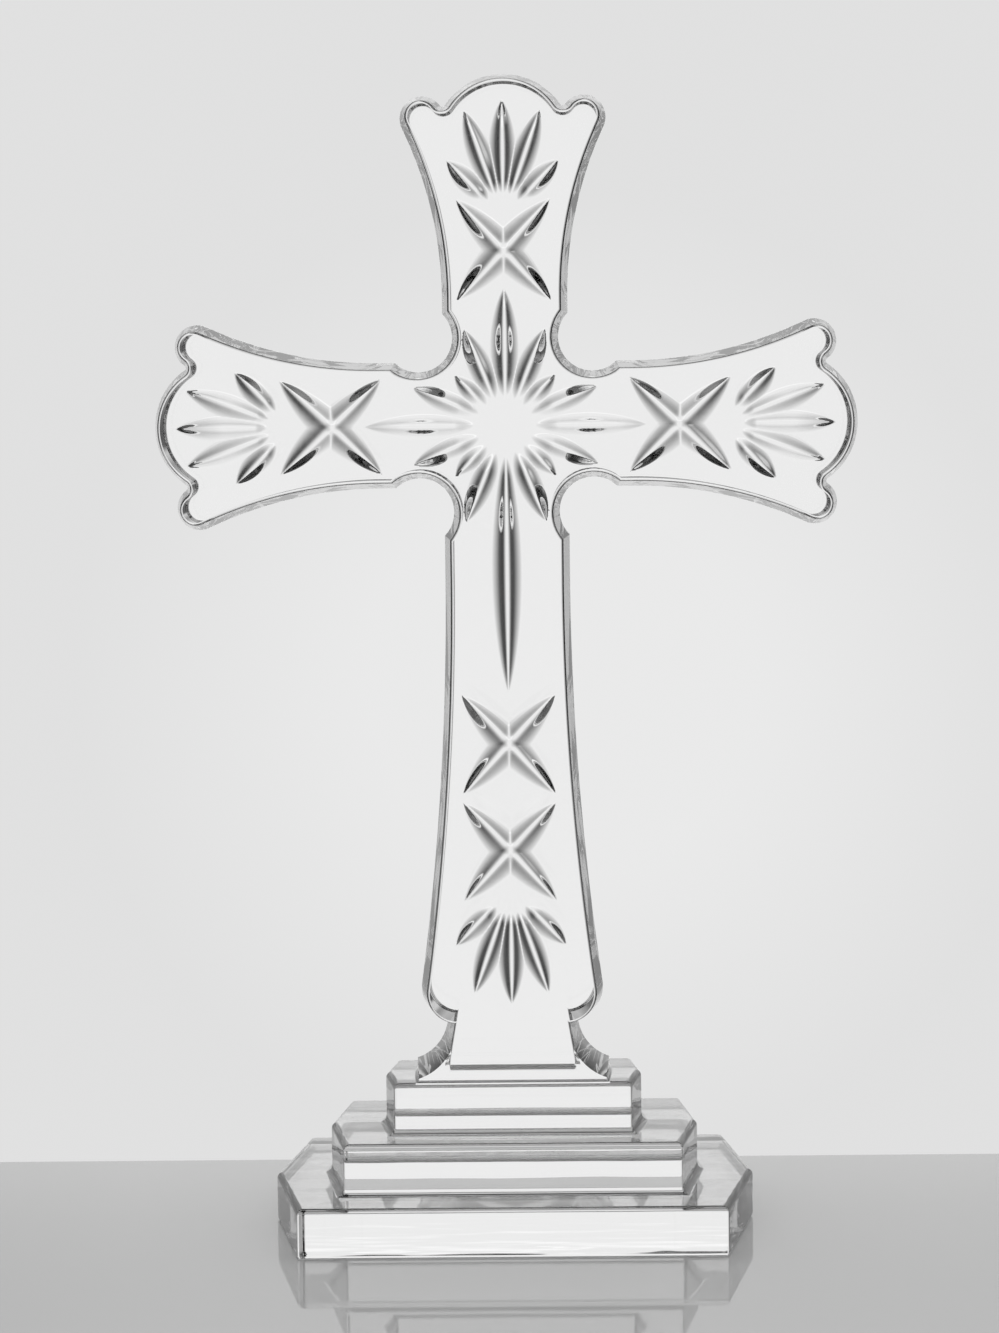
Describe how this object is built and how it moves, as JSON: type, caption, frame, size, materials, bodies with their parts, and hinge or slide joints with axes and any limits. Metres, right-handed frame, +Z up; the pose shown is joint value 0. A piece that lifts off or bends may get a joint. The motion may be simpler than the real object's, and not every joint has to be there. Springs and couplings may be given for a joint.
{
  "type": "standing cross",
  "caption": "Standing clear crystal cross with scalloped limb ends on a stepped six-sided base, with a star and leaf pattern cut in the front face.",
  "frame": {"origin": "middle of the base's underside", "axes": "+Z up the stem, -Y out of the cut front face, +X towards the viewer's right when the cut face is seen from the front"},
  "size_m": [0.1236, 0.0626, 0.2032],
  "materials": {
    "crystal": "clear, fire-polished"
  },
  "bodies": {
    "root": {"crystal_cross": "crystal"}
  },
  "joints": []
}
